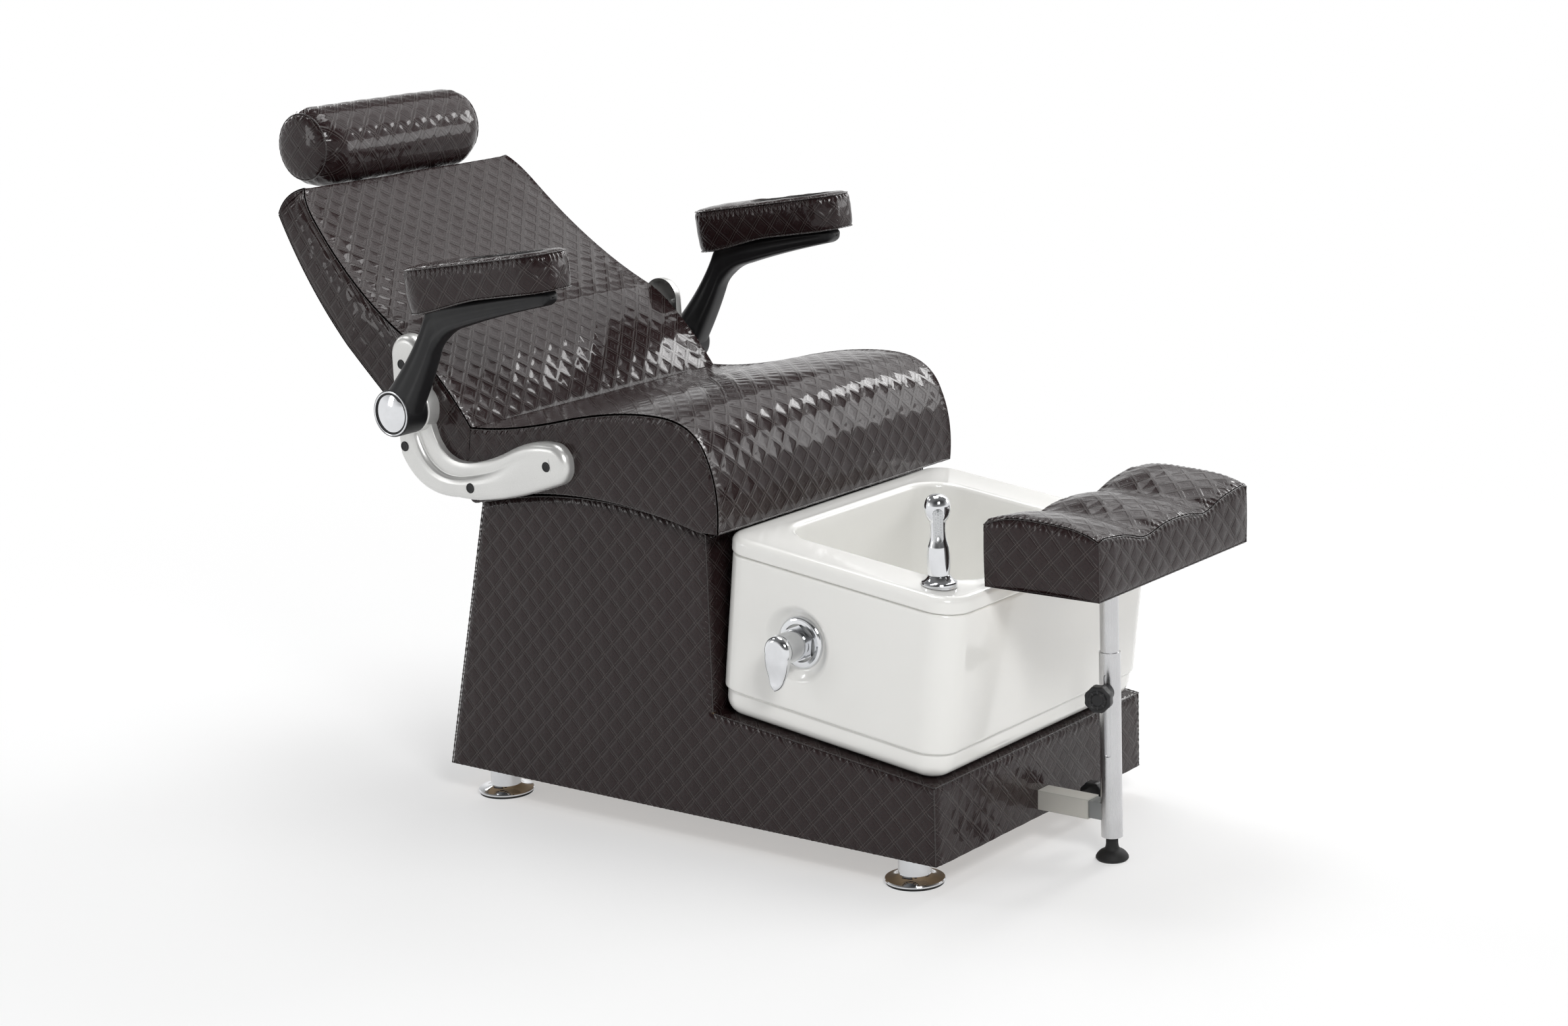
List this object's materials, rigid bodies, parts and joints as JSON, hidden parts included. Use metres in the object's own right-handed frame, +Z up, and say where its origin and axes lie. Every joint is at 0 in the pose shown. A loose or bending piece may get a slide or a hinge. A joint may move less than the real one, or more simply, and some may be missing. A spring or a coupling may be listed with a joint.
{
  "type": "pedicure spa chair",
  "caption": "Pedicure spa chair: lounge seat on an upholstered cabinet with a foot basin, hand shower, flip-up armrests, headrest roll and adjustable legrest.",
  "frame": {"origin": "on the floor, at the middle of the whole chair's outline seen from above", "axes": "+X to the sitter's left, +Y from the legrest to the headrest, +Z up"},
  "size_m": [0.7924, 1.5975, 1.0803],
  "materials": {
    "vinyl": "gloss embossed vinyl, dark brown-black, diamond lattice",
    "acrylic": "gloss warm white acrylic",
    "chrome": "polished",
    "steel": "satin",
    "silver": "satin silver paint",
    "black_plastic": "satin black",
    "lining": "matte black tray",
    "sleeve_paint": "satin beige-grey paint",
    "plywood": "birch plywood",
    "rubber": "matte black"
  },
  "bodies": {
    "chair": {"base_skin": "vinyl", "side_board_right": "plywood", "side_board_left": "plywood", "rear_board": "plywood", "riser_board": "plywood", "deck_board": "plywood", "front_board": "plywood", "floor_board": "plywood", "seat_rails": "plywood", "foot_front_right": "chrome", "foot_front_left": "chrome", "foot_rear_right": "chrome", "foot_rear_left": "chrome", "foot_pads": "rubber", "basin_skirt": "acrylic", "basin_liner": "acrylic", "drain_flange": "chrome", "waste_tube": "steel", "mixer_ring": "chrome", "mixer_body": "chrome", "mixer_tails": "steel", "shower_collar": "chrome", "shower_gland": "steel", "seat_pan": "plywood", "seat_cushion": "vinyl", "back_board": "plywood", "back_cushion": "vinyl", "headrest_guides": "black_plastic", "bracket_right": "silver", "bracket_left": "silver", "bracket_bolts": "steel", "bracket_caps": "black_plastic", "arm_axles": "steel", "sleeve_tube": "sleeve_paint"},
    "headrest": {"headrest_rods": "steel", "headrest_core": "plywood", "headrest_roll": "vinyl"},
    "armrest_right": {"arm_right": "black_plastic", "hub_cap_right": "chrome", "arm_pad_right": "vinyl", "arm_tray_right": "lining"},
    "armrest_left": {"arm_left": "black_plastic", "hub_cap_left": "chrome", "arm_pad_left": "vinyl", "arm_tray_left": "lining"},
    "slide": {"slide_bar": "steel", "post_outer": "chrome"},
    "legrest": {"post_inner": "chrome", "legrest_plate": "steel", "legrest_board": "plywood", "legrest_cushion": "vinyl"},
    "height_knob": {"height_knob": "black_plastic"},
    "reach_knob": {"reach_knob": "black_plastic"},
    "post_foot": {"post_foot": "rubber"},
    "mixer_head": {"mixer_head": "chrome"},
    "mixer_lever": {"mixer_lever": "chrome"},
    "handset": {"shower_handset": "chrome", "shower_face": "steel"},
    "drain_plug": {"drain_plug": "chrome"}
  },
  "joints": [
    {"name": "arm_right_flip", "type": "hinge", "parent": "chair", "child": "armrest_right", "pos_m": [-0.3483, 0.38131, 0.64], "axis": [-1, 0, 0], "range_deg": [0, 85]},
    {"name": "arm_left_flip", "type": "hinge", "parent": "chair", "child": "armrest_left", "pos_m": [0.3483, 0.38131, 0.64], "axis": [-1, 0, 0], "range_deg": [0, 85]},
    {"name": "headrest_slide", "type": "slide", "parent": "chair", "child": "headrest", "axis": [0, 0.7071, 0.7071], "range_m": [0, 0.06]},
    {"name": "leg_reach", "type": "slide", "parent": "chair", "child": "slide", "axis": [0, -1, 0], "range_m": [0, 0.15]},
    {"name": "leg_height", "type": "slide", "parent": "slide", "child": "legrest", "axis": [0, 0, 1], "range_m": [-0.095, 0.02]},
    {"name": "height_knob_turn", "type": "hinge", "parent": "legrest", "child": "height_knob", "pos_m": [-0.03881, -0.69637, 0.262], "axis": [-0.9703, -0.2419, 0], "continuous": true},
    {"name": "reach_knob_turn", "type": "hinge", "parent": "chair", "child": "reach_knob", "pos_m": [0.04, -0.62269, 0.075], "axis": [1, 0, 0], "continuous": true},
    {"name": "post_foot_turn", "type": "hinge", "parent": "slide", "child": "post_foot", "pos_m": [0, -0.68669, 0.02], "axis": [0, 0, 1], "continuous": true},
    {"name": "mixer_turn", "type": "hinge", "parent": "chair", "child": "mixer_head", "pos_m": [-0.3167, -0.32456, 0.34583], "axis": [1, 0, 0], "range_deg": [-45, 45]},
    {"name": "mixer_lift", "type": "hinge", "parent": "mixer_head", "child": "mixer_lever", "pos_m": [-0.317, -0.32675, 0.3637], "axis": [0, 0.9925, 0.1219], "range_deg": [0, 20]},
    {"name": "shower_lift", "type": "slide", "parent": "chair", "child": "handset", "axis": [0, 0, 1], "range_m": [0, 0.25]},
    {"name": "drain_plug_lift", "type": "slide", "parent": "chair", "child": "drain_plug", "axis": [0, -0.1219, 0.9925], "range_m": [0, 0.01]}
  ]
}
